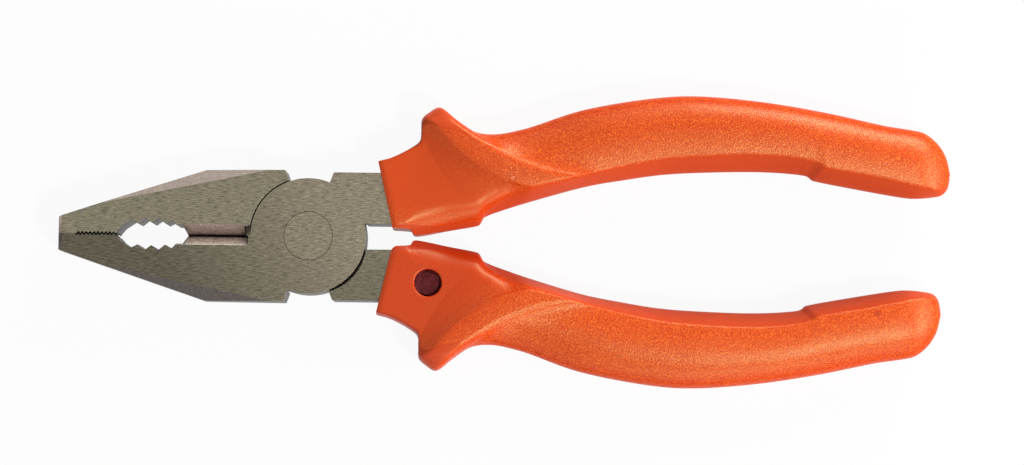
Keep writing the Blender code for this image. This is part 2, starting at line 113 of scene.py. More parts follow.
# Sections across the grip: point on the outer edge, on the crease and on the inner edge, height over
# the web, crown (0 flat, 1 round), bow of the section line, height of the upright inner wall as a
# share of the section's, radius of the crease
GRIP_SECTIONS = (
    (0.0, 0.0, 0.0, -0.3, 0.0, 0.0, 0.98, 0.1),
    (0.3, 0.28, 0.28, 0.0, 0.0, 0.03, 0.92, 0.3),
    (0.9, 1.0, 1.0, 0.0, 0.0, 0.1, 0.8, 0.6),
    (1.15, 2.0, 2.0, 0.0, 0.0, 0.15, 0.7, 0.8),
    (1.35, 2.6, 3.0, 0.0, 0.0, 0.2, 0.58, 1.0),
    (1.6, 3.0, 4.0, 0.0, 0.0, 0.3, 0.5, 1.3),
    (2.6, 4.0, 5.0, 0.0, 0.0, 0.7, 0.3, 2.4),
    (3.6, 5.0, 6.0, 0.0, 0.0, 1.3, 0.22, 2.5),
    (4.0, 5.7, 7.0, 0.03, 0.0, 1.7, 0.2, 2.5),
    (4.4, 6.5, 8.8, 0.18, 0.0, 2.1, 0.18, 2.5),
    (4.9, 7.4, 10.2, 0.52, 0.05, 2.5, 0.16, 2.2),
    (5.5, 8.2, 10.8, 1.28, 0.1, 2.8, 0.15, 1.7),
    (6.0, 9.0, 11.3, 1.93, 0.2, 3.0, 0.15, 0.8),
    (6.5, 9.7, 11.85, 2.07, 0.3, 3.1, 0.14, 0.5),
    (7.1, 10.4, 12.4, 2.1, 0.42, 3.1, 0.13, 0.35),
    (7.7, 10.8, 12.7, 1.9, 0.56, 2.7, 0.12, 0.3),
    (8.5, 11.1, 12.95, 1.5, 0.75, 2.0, 0.12, 0.25),
    (9.3, 11.4, 13.25, 1.25, 0.9, 1.3, 0.12, 0.25),
    (10.0, 11.7, 13.6, 1.2, 1.0, 0.8, 0.12, 0.25),
    (11.0, 12.1, 14.1, 1.35, 1.0, 0.3, 0.12, 0.25),
    (12.0, 12.75, 14.75, 1.65, 1.0, 0.0, 0.12, 0.25),
    (13.0, 13.7, 15.6, 1.85, 1.0, 0.0, 0.12, 0.25),
    (14.0, 14.37, 16.1, 1.95, 1.0, 0.0, 0.12, 0.25),
    (15.0, 15.5, 17.03, 1.95, 1.0, 0.0, 0.12, 0.25),
    (15.5, 16.45, 18.03, 1.9, 1.0, 0.0, 0.12, 0.25),
    (15.75, 18.6, 19.6, 1.85, 1.0, 0.0, 0.12, 0.25),
    (15.85, 20.2, 21.4, 1.85, 1.0, 0.0, 0.12, 0.25),
    (16.3, 21.5, 22.6, 1.75, 1.0, 0.0, 0.12, 0.25),
    (17.0, 22.45, 23.5, 1.55, 1.0, 0.0, 0.15, 0.3),
    (18.0, 23.4, 24.8, 1.35, 1.0, 0.0, 0.2, 0.3),
    (19.0, 24.0, 25.6, 1.35, 1.0, 0.0, 0.25, 0.25),
    (20.0, 25.0, 26.9, 1.35, 1.0, 0.0, 0.3, 0.2),
    (21.0, 26.0, 28.0, 1.35, 1.0, 0.0, 0.4, 0.1),
    (22.0, 27.0, 29.0, 1.35, 1.0, 0.0, 0.5, 0.05),
)
# Shape across a flat and a fully crowned section: share of the width in which the outer edge rounds
# off, power of that rounding, power of the fall to the crease, crease height
FLAT_SHAPE = (0.045, 2.2, 6.0, 0.98)
CROWNED_SHAPE = (0.6, 2.2, 2.2, 0.94)
FACET_POWER = 1.2
# Most of a section's top and of its inner facet that the crease's round takes
MOST_TOP_ROUND = 0.4
MOST_FACET_ROUND = 0.75
# Tail: radius of its rounded end, least distance from the end that is drawn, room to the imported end
TAIL_END_RADIUS = 9.0
LEAST_TAIL = 0.05
END_CLEARANCE = 0.05
# About the step between sections, and points on each part of half a section
SECTION_STEP = 0.5
EDGE_POINTS = 12
TOP_POINTS = 18
CREASE_POINTS = 6
FACET_POINTS = 6
FACET_START = 1 + EDGE_POINTS + TOP_POINTS + CREASE_POINTS
# Finishes of a grip, by material number, and how far from the mouth its edge stays smooth
GRAINED, SMOOTH = range(2)
GUARD_TIP = 12.15
# Seam round a grip: height, half its width, and the most of a thin section's height that it takes
SEAM_HEIGHT = 0.08
SEAM_HALF_WIDTH = 0.18
MOST_SEAM = 0.25

# Marks on the plastic: place, fall of the grain's height per millimetre away from it, colour, and the
# heights left between which the mark grows from nothing to full
SCUFF = ((40.8, 12.4, 11.9), 0.07, (255, 206, 176), (0.57, 0.61))
PIN_MARK = ((114.4, -14.3, 11.7), 0.7, (186, 52, 14), (-0.15, 0.35))
# Grips: name, imported node, body, whether it is turned over, share of painted shade near the joint, mark
GRIPS = (
    ("upper_sleeve", "upper_grip", "front_lever", False, 0.35, SCUFF),
    ("lower_sleeve", "lower_grip", "rear_lever", True, 1.0, PIN_MARK),
)
# Mouth, tang room, locating hole and rounded mouth corner of a grip
GRIP_CLEARANCE = 0.3
MOUTH_CLEARANCE = 0.04
TANG_PLAIN_LENGTH = 3.4
ROOM_LENGTH = 14.0
ROOM_INSET = 1.6
ROOM_RISE = 3.0
HOLE_RADIUS = 2.72
HOLE_FROM_MOUTH = 10.4
HOLE_FROM_TANG_EDGE = 6.6
HOLE_RIM = 0.35
RIM_STEPS = 6
HOLE_SIDES = 72
CORNER_LENGTH = 1.5
CORNER_STEPS = 8
OVERCUT = 1.0
# Least angle between faces of a grip at which the edge is shown sharp
SHARP_ANGLE = 34.0

# Steel edges: full round, its share round the joint and near the meeting plane of the jaws, steps
# across it, and the least angle of an edge that is rounded
STEEL_EDGE = 0.14
JOINT_EDGE_SHARE = 0.25
JAW_EDGE_SHARE = 0.3
EDGE_SEGMENTS = 2
STEEL_EDGE_ANGLE = 18.0
# Steel faces: most angle between two that become one, most distance between points that are joined,
# and the weight of large faces in the shading
FLAT_ANGLE = 0.4
WELD_DISTANCE = 0.002
LARGE_FACE_WEIGHT = 100

# Jaws drawn touching: lands this near the meeting plane are set at a distance from it
JAW_LAND = 0.05
JAW_TOUCH = 0.004
# Gap beside the disc: radii between which its wall lies, how far past the middle of the head it may
# reach, angles off the X axis between which it opens, and how far it opens
GAP_RADIUS = (11.8, 11.95)
GAP_PAST_MIDDLE = 0.12
GAP_ANGLES = (6.0, 74.0)
GAP_OPENING = 0.4

# Finishes of a steel piece, by material number, and where they lie; the last is the tang inside the grip,
# painted in shade
BRUSHED, WALL, FACET, CUTTER, SHADED_TANG = range(5)
FACE_LEAST_UPRIGHT = 0.95
BEVEL_LEAST_UPRIGHT = 0.2
CUTTER_LEFT = -24.6
CUTTER_RIGHT = -9.0
CUTTER_REACH = 2.2
JOINT_REACH = 12.3

# Noise values between which a texture's colours and roughness run from one end to the other
NOISE_RANGE = (0.3, 0.7)

# Brushed steel: grains per millimetre along and across the tool and turn in plan, of the streaks and
# of the fine streaks, and grains per millimetre of the specks
STREAK_SCALE, STREAK_TURN = (0.6, 7.6, 7.6), (0, 0, 3)
FINE_SCALE, FINE_TURN = (1.6, 9.0, 9.0), (0, 0, 5)
SPECK_SCALE = (3.0, 4.0, 4.0)
# Light and dark streaks as shares of the tint, then the fine streaks' noise values and share
LIGHT_STREAK, DARK_STREAK = 1.48, 0.5
FINE_FROM, FINE_SHARE = (0.45, 0.65), 0.35
# Specks: tint, noise values between which they grow, full share
SPECKS = (
    ((255, 240, 236), (0.55, 0.75), 0.5),
    ((240, 250, 236), (0.45, 0.25), 0.5),
)
# Strength and depth of both streaks' bump, and roughness
BRUSHED_BUMP = (0.25, 0.03)
BRUSHED_ROUGHNESS = (0.36, 0.5)
# Painted shade on a half: the brushed faces darken towards one end, as light falls off across the head.
# Direction in which it thins out, where it is full and where it ends along that direction, share of light
# that it takes where it is full
FRONT_PAINTED_SHADE = (40.0, -26.0, 6.0, 0.5)
REAR_PAINTED_SHADE = (100.0, -12.0, 6.0, 0.3)
NO_PAINTED_SHADE = (0.0, -1.0, 1.0, 0.0)

# Ground steel: grains per millimetre, strength and depth of the bump, roughness
GROUND_SCALE = (3.0, 1.2, 1.2)
GROUND_BUMP = (0.3, 0.06)
GROUND_ROUGHNESS = (0.4, 0.55)
# Painted shade along a cutting edge, in the groove where the bevels of the two jaws meet: distances
# from the edge at which it is full and has ended, share of the tint that is left in it
PAINTED_EDGE_SHADE = (0.15, 0.4)
EDGE_SHADE_TINT = 0.12
# Walls of the steel pieces: tint and its spread. The dark tint is painted shade.
STEEL_WALL = ((92, 86, 82), 0.12)
# Halves: name, body, tint of the brushed faces, painted shade, tint and spread of the facets, tint, spread
# and painted shade line of the cutters. The facet and cutter tints differ between the halves as painted
# light and painted shade.
HALVES = (
    ("front", "front_lever", (105, 99, 85), FRONT_PAINTED_SHADE, ((92, 86, 82), 0.12), ((250, 240, 226), 0.15, 0.8)),
    ("rear", "rear_lever", (101, 96, 82), REAR_PAINTED_SHADE, ((160, 146, 136), 0.08), ((172, 157, 152), 0.15, 0.9)),
)
RIVET_TINT = (103, 97, 83)
# Tang inside the grip, seen through the locating hole: painted shade with a painted reflection of the
# orange walls. Flakes per millimetre, dark and pale tint, strength and depth of the bump
FLAKE_SCALE = (1.5, 1.5, 1.5)
SHADED_TANG_TINTS = (72, 20, 24), (118, 42, 46)
FLAKE_BUMP = (0.5, 0.1)

# Finishes of the plastic: name, deeper and paler colour, share of grain, gloss seen face on
PLASTICS = (
    ("grained", (213, 60, 8), (220, 66, 12), 1.0, 0.62),
    ("smooth", (208, 73, 34), (214, 78, 37), 0.15, 0.2),
)
# Gloss at grazing angles, the angle weights between which it falls to that, and its tint
GRAZING_GLOSS = 0.02
GLOSS_FALL = (0.15, 0.5)
GLOSS_TINT = (0.7, 0.95, 0.48, 1.0)
# Patches of deeper and paler colour and grain: number per millimetre of each, depth of the grain's
# bump, roughness at its low and high values
PATCH_SCALE = (0.05, 0.05, 0.05)
GRAIN_SCALE = (3.7, 3.7, 3.7)
GRAIN_DEPTH = 0.08
GRAIN_ROUGHNESS = (0.35, 0.27)
# Light and dark grains: colour, noise values between which they grow, full share. The light grains are
# grain and partly painted sparkle.
GRAINS = (
    ((252, 126, 44), (0.5, 0.66), 0.8),
    ((188, 44, 6), (0.49, 0.33), 0.85),
)
# Where the grain lies: shares of the distance along and across the tool that are added up, the sums
# between which it grows from weak to full, and its weak share
GRAIN_ACROSS = (0.731, 0.68)
GRAIN_FROM = (30.0, 40.0)
WEAK_GRAIN = 0.2
# Grain of the thumb pad, which is less where the painted shade near the joint is strong: distances from
# the tool's axis between which it grows, and its share on a grip without that shade
PAD_GRAIN_FROM = (6.9, 5.2)
PAD_GRAIN = 0.9
# Painted shade on the plastic near the joint, where the web lies before the guard ridge: the tint it
# gives, and the same sums between which it ends
JOINT_SHADE_TINT = (235, 213, 255)
JOINT_SHADE_FROM = (28.0, 40.0)

# Studio
WHITE = (1.0, 1.0, 1.0, 1.0)
BLACK = (0.0, 0.0, 0.0, 1.0)
FLOOR_SIZE = 8000.0
FLOOR_COLOUR = (0.85, 0.85, 0.85, 1.0)
# Share of the floor's own white near the object and far from it, and the distances between which it
# changes
FLOOR_GLOW = (0.93, 1.0)
FLOOR_FADE = (300.0, 900.0)
BACKGROUND_WHITE = 1.0
WORLD_LIGHT = 0.16
LIGHT_TARGET = (40.0, 0.0, 0.0)
LIGHT_DISTANCE = 800.0
# Soft boxes: name, direction round from +X, height over the floor, side length, power in watts
LIGHTS = (
    ("tail_side", -8.0, 18.0, 400.0, 3.4),
    ("far_side", 50.0, 18.0, 460.0, 3.5),
    ("far_low", 72.0, 7.0, 160.0, 3.0),
    ("near_side", -76.0, 15.0, 400.0, 1.4),
    ("top", -45.0, 60.0, 110.0, 3.5),
)


def along(distance, length):
    """Distance from the mouth on a grip of some length: the guard keeps its size, the rest stretches."""
    drawn = GRIP_OUTER[-1][0]
    stretch = (length - STRETCH_FROM) / (drawn - STRETCH_FROM)
    return distance if distance < STRETCH_FROM else STRETCH_FROM + (distance - STRETCH_FROM) * stretch


def spline(points):
    """A smooth curve through plan points, as a function of the point's number in the list."""
    points = np.array(points, float)
    padded = np.vstack([2 * points[0] - points[1], points, 2 * points[-1] - points[-2]])
    knots = np.concatenate([[0], np.cumsum(np.linalg.norm(np.diff(padded, axis=0), axis=1) ** 0.5)])

    def at(number):
        first = min(int(number), len(points) - 2)
        p, k = padded[first:first + 4], knots[first:first + 4]
        t = k[1] + (number - first) * (k[2] - k[1])
        near = [blend(p[i], p[i + 1], k[i], k[i + 1], t) for i in range(3)]
        wide = [blend(near[i], near[i + 1], k[i], k[i + 2], t) for i in range(2)]
        return blend(wide[0], wide[1], k[1], k[2], t)

    return at


def blend(a, b, start, stop, t):
    """The value between a and b at t, where t runs from start to stop."""
    return a + (b - a) * (t - start) / (stop - start)


def monotone(rows):
    """A smooth function of the row number through rows of values, with no overshoot."""
    rows = np.array(rows, float)
    steps = np.diff(rows, axis=0)
    product = steps[:-1] * steps[1:]
    total = steps[:-1] + steps[1:]
    inside = np.where(product > 0, 2 * product / np.where(total == 0, 1, total), 0)
    slopes = np.vstack([steps[0], inside, steps[-1]])

    def at(number):
        first = min(int(number), len(rows) - 2)
        t = number - first
        turn = t * t * (3 - 2 * t)
        value = rows[first] * (1 - turn) + rows[first + 1] * turn
        return value + t * (1 - t) * (slopes[first] * (1 - t) - slopes[first + 1] * t)

    return at


def rounded(start, corner, stop, t):
    """The point at t on a round from start to stop that bends towards a corner."""
    return start * (1 - t) ** 2 + corner * 2 * t * (1 - t) + stop * t * t


def grip_ring(outer, crease, inner, top, crown, bow, wall, radius):
    """One closed section of a grip, from the seam on its outer edge over the front and back."""
    line, slant = crease - outer, inner - crease
    length, width = np.linalg.norm(line), np.linalg.norm(slant)
    forward, down = line / length, slant / width
    side = np.array([forward[1], -forward[0]])
    shape = [flat + (round_ - flat) * crown for flat, round_ in zip(FLAT_SHAPE, CROWNED_SHAPE)]
    edge_share, edge_power, fall_power, crease_share = shape
    edge, crease_top = outer + forward * SEAM_HEIGHT, top * crease_share

    def on_top(across):
        place = edge + (crease - edge) * across + side * bow * 4 * across * (1 - across)
        if across < edge_share:
            height = top * (1 - (1 - across / edge_share) ** edge_power) ** (1 / edge_power)
        else:
            fall = ((across - edge_share) / (1 - edge_share)) ** fall_power
            height = top * (1 - (1 - crease_share) * fall)
        return np.array([*place, height])

    def on_facet(share):
        place = crease + (slant - down * SEAM_HEIGHT) * share
        return np.array([*place, crease_top + (top * wall - crease_top) * share ** FACET_POWER])

    last_top = 1 - min(MOST_TOP_ROUND, radius / length)
    first_facet = min(MOST_FACET_ROUND, radius / width)
    seam_top = min(SEAM_HALF_WIDTH, top * MOST_SEAM)
    front = [np.array([*outer, 0.0]), np.array([*edge, seam_top])]
    for step in range(1, EDGE_POINTS):
        turn = math.radians(90 * step / EDGE_POINTS)
        front.append(on_top(edge_share * (1 - math.cos(turn) ** (2 / edge_power))))
    for step in range(TOP_POINTS):
        front.append(on_top(edge_share + (last_top - edge_share) * step / TOP_POINTS))
    start, corner, stop = on_top(last_top), on_facet(0.0), on_facet(first_facet)
    for step in range(CREASE_POINTS):
        front.append(rounded(start, corner, stop, step / CREASE_POINTS))
    for step in range(FACET_POINTS + 1):
        front.append(on_facet(first_facet + (1 - first_facet) * step / FACET_POINTS))
    seam = np.array([*inner, 0.0])
    back = [point * (1, 1, -1) for point in front[:0:-1]]
    return [Vector(point) for point in front + [seam] + back]


def grip_rings(length):
    """All sections of a grip of some length, from its mouth to its tail."""
    length -= END_CLEARANCE
    outer = spline([(MOUTH_X + along(u, length), TANG_TOP + rise) for u, rise in GRIP_OUTER])
    crease = spline([(MOUTH_X + along(u, length), TANG_BOTTOM + rise) for u, rise in GRIP_CREASE])
    inner = spline([(MOUTH_X + along(u, length), TANG_BOTTOM + rise) for u, rise in GRIP_INNER])
    section = monotone(GRIP_SECTIONS)
    numbers = []
    for row in range(len(GRIP_SECTIONS) - 1):
        near, far = GRIP_SECTIONS[row], GRIP_SECTIONS[row + 1]
        outer_span = np.linalg.norm(outer(far[0]) - outer(near[0]))
        inner_span = np.linalg.norm(inner(far[2]) - inner(near[2]))
        steps = max(2, round(max(outer_span, inner_span) / SECTION_STEP))
        numbers += [row + i / steps for i in range(steps)]
    numbers.append(len(GRIP_SECTIONS) - 1)
    rings = []
    for number in numbers:
        at_outer, at_crease, at_inner, rise, *shape = section(number)
        edges = outer(at_outer), crease(at_crease), inner(at_inner)
        to_end = max(LEAST_TAIL, MOUTH_X + length - (edges[0][0] + edges[2][0]) / 2)
        lean = 1 - min(1.0, to_end / TAIL_END_RADIUS)
        rings.append(grip_ring(*edges, (WEB_HALF + rise) * math.sqrt(1 - lean ** 2), *shape))
    return rings


def grip_finish(ring, point):
    """Number of the finish beside a section's point: smooth inner facets and edge before the guard."""
    place = min(point, len(ring) - 1 - point)
    before_guard = ring[0].x < MOUTH_X + GUARD_TIP
    smooth = place >= FACET_START or (place <= EDGE_POINTS and before_guard)
    return SMOOTH if smooth else GRAINED


def skin(rings, finish=None):
    """A closed skin over rings with as many points, with flat ends and a finish on each face."""
    bm = bmesh.new()
    loops = [[bm.verts.new(point) for point in ring] for ring in rings]
    for near, far in zip(loops, loops[1:]):
        for i in range(len(near)):
            j = (i + 1) % len(near)
            face = bm.faces.new((near[i], near[j], far[j], far[i]))
            if finish:
                face.material_index = finish([vert.co for vert in near], i)
    bm.faces.new(loops[0][::-1])
    bm.faces.new(loops[-1])
    if bm.calc_volume(signed=True) < 0:
        bmesh.ops.reverse_faces(bm, faces=bm.faces)
    return bm


def prism(outline, z_low, z_high):
    """A plan outline carried from one height to another."""
    return skin([[Vector((x, y, z)) for x, y in outline] for z in (z_low, z_high)])


def turned(profile, sides, x, y):
    """A solid of revolution about an upright axis, from points of radius and height."""
    rings = []
    for radius, z in profile:
        angles = [math.tau * i / sides for i in range(sides)]
        rings.append([Vector((x + radius * math.cos(a), y + radius * math.sin(a), z)) for a in angles])
    return skin(rings)


def mouth_pocket():
    """The room in a grip's mouth for the plain end of the tang."""
    low, high = TANG_BOTTOM - GRIP_CLEARANCE, TANG_TOP + GRIP_CLEARANCE
    left, right = MOUTH_X - 2 * OVERCUT, MOUTH_X + TANG_PLAIN_LENGTH + GRIP_CLEARANCE
    outline = [(left, low), (right, low), (right, high), (left, high)]
    return prism(outline, -HALF - MOUTH_CLEARANCE, HALF + MOUTH_CLEARANCE)


def tang_room():
    """The room for the tang as far as it can be seen through the locating hole."""
    low, high = TANG_BOTTOM + ROOM_INSET, TANG_TOP - GRIP_CLEARANCE
    left, right = MOUTH_X + TANG_PLAIN_LENGTH - OVERCUT, MOUTH_X + ROOM_LENGTH
    outline = [(left, low), (right, low + ROOM_RISE), (right, high + ROOM_RISE), (left, high)]
    return prism(outline, -HALF, HALF)


def mouth_corner():
    """The piece that is missing where the inner corner of the lower grip's mouth is rounded off."""
    corner = Vector((MOUTH_X + GRIP_INNER[0][0], TANG_BOTTOM + GRIP_INNER[0][1]))
    mouth_end = Vector((MOUTH_X + GRIP_OUTER[0][0], TANG_TOP + GRIP_OUTER[0][1]))
    edge_end = Vector((MOUTH_X + GRIP_INNER[1][0], TANG_BOTTOM + GRIP_INNER[1][1]))
    on_mouth, on_edge = (mouth_end - corner).normalized(), (edge_end - corner).normalized()
    start, stop = corner + on_mouth * CORNER_LENGTH, corner + on_edge * CORNER_LENGTH
    outline = [corner - (on_mouth + on_edge) * OVERCUT]
    for step in range(CORNER_STEPS + 1):
        outline.append(rounded(start, corner, stop, step / CORNER_STEPS))
    return prism(outline, -WEB_HALF - OVERCUT, WEB_HALF + OVERCUT)


def locating_hole():
    """The round hole that the mould's pin leaves in the back of a grip, with a softened rim."""
    profile = [(HOLE_RADIUS, -HALF + OVERCUT)]
    for step in range(RIM_STEPS + 1):
        turn = math.radians(90 * step / RIM_STEPS)
        out = HOLE_RIM * (1 - math.cos(turn))
        profile.append((HOLE_RADIUS + out, -WEB_HALF + HOLE_RIM * (1 - math.sin(turn))))
    profile.append((HOLE_RADIUS + HOLE_RIM, -WEB_HALF - OVERCUT))
    x, y = MOUTH_X + HOLE_FROM_MOUTH, TANG_BOTTOM + HOLE_FROM_TANG_EDGE
    return turned(profile, HOLE_SIDES, x, y)


def new_object(name, bm):
    """An object from a mesh drawn in millimetres about the pivot at the middle of the head."""
    bm.transform(Matrix.Translation((0, 0, MIDDLE_Z * MM)) @ Matrix.Scale(MM, 4))
    mesh = bpy.data.meshes.new(name)
    bm.to_mesh(mesh)
    bm.free()
    obj = bpy.data.objects.new(name, mesh)
    bpy.context.scene.collection.objects.link(obj)
    return obj


def cut(target, shapes):
    """Takes shapes out of an object and leaves it with a plain mesh."""
    tools = []
    for number, bm in enumerate(shapes):
        tool = new_object(f"{target.name}_tool_{number}", bm)
        modifier = target.modifiers.new(tool.name, "BOOLEAN")
        modifier.operation = "DIFFERENCE"
        modifier.solver = "EXACT"
        modifier.object = tool
        tools.append(tool)
    graph = bpy.context.evaluated_depsgraph_get()
    mesh = bpy.data.meshes.new_from_object(target.evaluated_get(graph))
    target.modifiers.clear()
    target.data = mesh
    for tool in tools:
        bpy.data.objects.remove(tool)


def make_grip(name, node, body, turned_over, looks):
    """A moulded grip that stands for a packed one."""
    low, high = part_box(node)
    sleeve = skin(grip_rings((high.x - low.x) / MM), grip_finish)
    shapes = [sleeve, mouth_pocket(), tang_room(), locating_hole()]
    if turned_over:
        shapes.append(mouth_corner())
        for bm in shapes:
            bm.transform(Matrix.Rotation(math.pi, 4, "X"))
    grip = new_object(name, sleeve)
    for look in looks:
        grip.data.materials.append(look)
    cut(grip, shapes[1:])
    grip.data.shade_smooth()
    grip.data.set_sharp_from_angle(angle=math.radians(SHARP_ANGLE))
    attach(grip, body)
    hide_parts(node)


def steel_mesh(name, node):
    """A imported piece's mesh with its points settled, its finishes set and its edges marked for a round."""
    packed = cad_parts[node].data
    plain = bpy.data.meshes.new(name)
    plain.from_pydata([v.co for v in packed.vertices], [], [p.vertices for p in packed.polygons])
    bm = bmesh.new()
    bm.from_mesh(plain)
    bmesh.ops.remove_doubles(bm, verts=bm.verts, dist=WELD_DISTANCE * MM)
    for vert in bm.verts:
        settle(vert.co)
    flat = math.radians(FLAT_ANGLE)
    bmesh.ops.dissolve_limit(bm, angle_limit=flat, verts=bm.verts, edges=bm.edges)
    for face in bm.faces:
        face.material_index = steel_zone(face)
        face.smooth = True
    sharp = math.radians(STEEL_EDGE_ANGLE)
    weight = bm.edges.layers.float.new("bevel_weight_edge")
    for edge in bm.edges:
        if edge.is_manifold and edge.calc_face_angle() > sharp:
            edge[weight] = edge_round(edge)
    bm.to_mesh(plain)
    bm.free()
    return plain


def make_steel(name, node, body, looks):
    """A steel piece that stands for a packed one, with small rounds on its edges."""
    piece = bpy.data.objects.new(name, steel_mesh(name, node))
    bpy.context.scene.collection.objects.link(piece)
    for look in looks:
        piece.data.materials.append(look)
    rounds = piece.modifiers.new("edge_rounds", "BEVEL")
    rounds.limit_method = "WEIGHT"
    rounds.width = STEEL_EDGE * MM
    rounds.segments = EDGE_SEGMENTS
    rounds.use_clamp_overlap = False
    weighted = piece.modifiers.new("flat_face_normals", "WEIGHTED_NORMAL")
    weighted.mode = "FACE_AREA"
    weighted.weight = LARGE_FACE_WEIGHT
    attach(piece, body)
    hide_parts(node)


def settle(place):
    """Moves a steel point a little: jaws that touch, and a wider gap beside the disc."""
    x, y, z = place / MM
    if abs(y) < JAW_LAND and x < CUTTER_RIGHT:
        place.y = math.copysign(JAW_TOUCH, y) * MM
    radius, angle = math.hypot(x, y), math.degrees(math.atan2(abs(y), x))
    wall = GAP_RADIUS[0] < radius < GAP_RADIUS[1] and (z - MIDDLE_Z) * y < GAP_PAST_MIDDLE * abs(y)
    if wall and GAP_ANGLES[0] < angle < GAP_ANGLES[1]:
        share = (angle - GAP_ANGLES[0]) / (GAP_ANGLES[1] - GAP_ANGLES[0])
        opened = 1 + GAP_OPENING * math.sin(math.pi * share) / radius
        place.x *= opened
        place.y *= opened


def edge_round(edge):
    """Share of the full round on a steel edge: less round the joint and along the meeting jaws."""
    ends = [vert.co / MM for vert in edge.verts]
    reach = max(math.hypot(end.x, end.y) for end in ends)
    if reach < JOINT_REACH:
        return JOINT_EDGE_SHARE
    if all(abs(end.y) < JAW_LAND for end in ends):
        return 0.0
    if all(abs(end.y) < CUTTER_REACH for end in ends):
        return JAW_EDGE_SHARE
    return 1.0


def steel_zone(face):
    """Number of the finish on a steel face: brushed, wall, slanting facet, cutter or the tang in painted
    shade.
    """
    x, y, z = face.calc_center_median() / MM
    upright = abs(face.normal.z)
    # The tang inside the grip gets the finish of painted shade.
    if x > MOUTH_X + TANG_PLAIN_LENGTH:
        return SHADED_TANG
    if upright > FACE_LEAST_UPRIGHT:
        return BRUSHED
    if upright < BEVEL_LEAST_UPRIGHT:
        return WALL
    return CUTTER if CUTTER_LEFT < x < CUTTER_RIGHT and abs(y) < CUTTER_REACH else FACET


class Graph:
    """A material's node tree with short calls for the nodes used here."""

    # Numbers of the Mix node's sockets for its factor, its two colours and the result
    MIX_FACTOR, MIX_FIRST, MIX_SECOND, MIX_RESULT = 0, 6, 7, 2

    def __init__(self, name):
        self.material = bpy.data.materials.new(name)
        self.material.use_nodes = True
        self.tree = self.material.node_tree
        self.shader = self.tree.nodes["Principled BSDF"]

    def set(self, node, name, value):
        socket = node.inputs[name]
        if isinstance(value, bpy.types.NodeSocket):
            self.tree.links.new(value, socket)
        else:
            socket.default_value = value

    def add(self, kind, options, inputs):
        node = self.tree.nodes.new(kind)
        for name, value in options.items():
            setattr(node, name, value)
        for name, value in inputs.items():
            self.set(node, name, value)
        return node

    def place(self, scale=(1.0, 1.0, 1.0), turn=(0.0, 0.0, 0.0), shift=(0.0, 0.0, 0.0)):
        """Millimetres in the object's own frame, moved, turned and stretched."""
        texture = self.add("ShaderNodeTexCoord", {}, {})
        stretch = tuple(value / MM for value in scale)
        inputs = {
            "Vector": texture.outputs["Object"],
            "Location": shift,
            "Rotation": tuple(math.radians(value) for value in turn),
            "Scale": stretch,
        }
        return self.add("ShaderNodeMapping", {}, inputs).outputs["Vector"]

    def slope(self, turn):
        """Distance in millimetres along a plan direction, through the pivot."""
        turned_place = self.place(turn=(0.0, 0.0, -turn))
        return self.add("ShaderNodeSeparateXYZ", {}, {"Vector": turned_place}).outputs["X"]

    def distance(self, place):
        """Distance in millimetres from a place in the object's own frame."""
        off = self.place(shift=tuple(-value for value in place))
        return self.add("ShaderNodeVectorMath", {"operation": "LENGTH"}, {0: off}).outputs["Value"]

    def noise(self, vector, detail=2.0, roughness=0.5):
        inputs = {"Vector": vector, "Scale": 1.0, "Detail": detail, "Roughness": roughness}
        return self.add("ShaderNodeTexNoise", {}, inputs).outputs["Fac"]

    def remap(self, value, low, high, to_low=0.0, to_high=1.0):
        inputs = {
            "Value": value, "From Min": low, "From Max": high, "To Min": to_low, "To Max": to_high,
        }
        return self.add("ShaderNodeMapRange", {"clamp": True}, inputs).outputs["Result"]

    def math(self, operation, first, second):
        return self.add("ShaderNodeMath", {"operation": operation}, {0: first, 1: second}).outputs[0]

    def mix(self, factor, first, second, blend_type="MIX"):
        options = {"data_type": "RGBA", "blend_type": blend_type}
        node = self.add("ShaderNodeMix", options, {})
        self.set(node, self.MIX_FACTOR, factor)
        self.set(node, self.MIX_FIRST, first)
        self.set(node, self.MIX_SECOND, second)
        return node.outputs[self.MIX_RESULT]

    def bump(self, height, strength, distance, normal=None):
        inputs = {"Height": height, "Strength": strength, "Distance": distance * MM}
        if normal:
            inputs["Normal"] = normal
        return self.add("ShaderNodeBump", {}, inputs).outputs["Normal"]

    def finish(self, **inputs):
        for name, value in inputs.items():
            self.set(self.shader, name.replace("_", " "), value)
        return self.material


def colour(red, green, blue):
    """A shader colour from the 0 to 255 values that a picture shows."""
    linear = []
    for value in (red, green, blue):
        share = value / 255
        linear.append(share / 12.92 if share <= 0.04045 else ((share + 0.055) / 1.055) ** 2.4)
    return (*linear, 1.0)


def tinted(tint, share):
    """A shader colour from a tint made lighter or darker by a share."""
    return colour(*[value * share for value in tint])


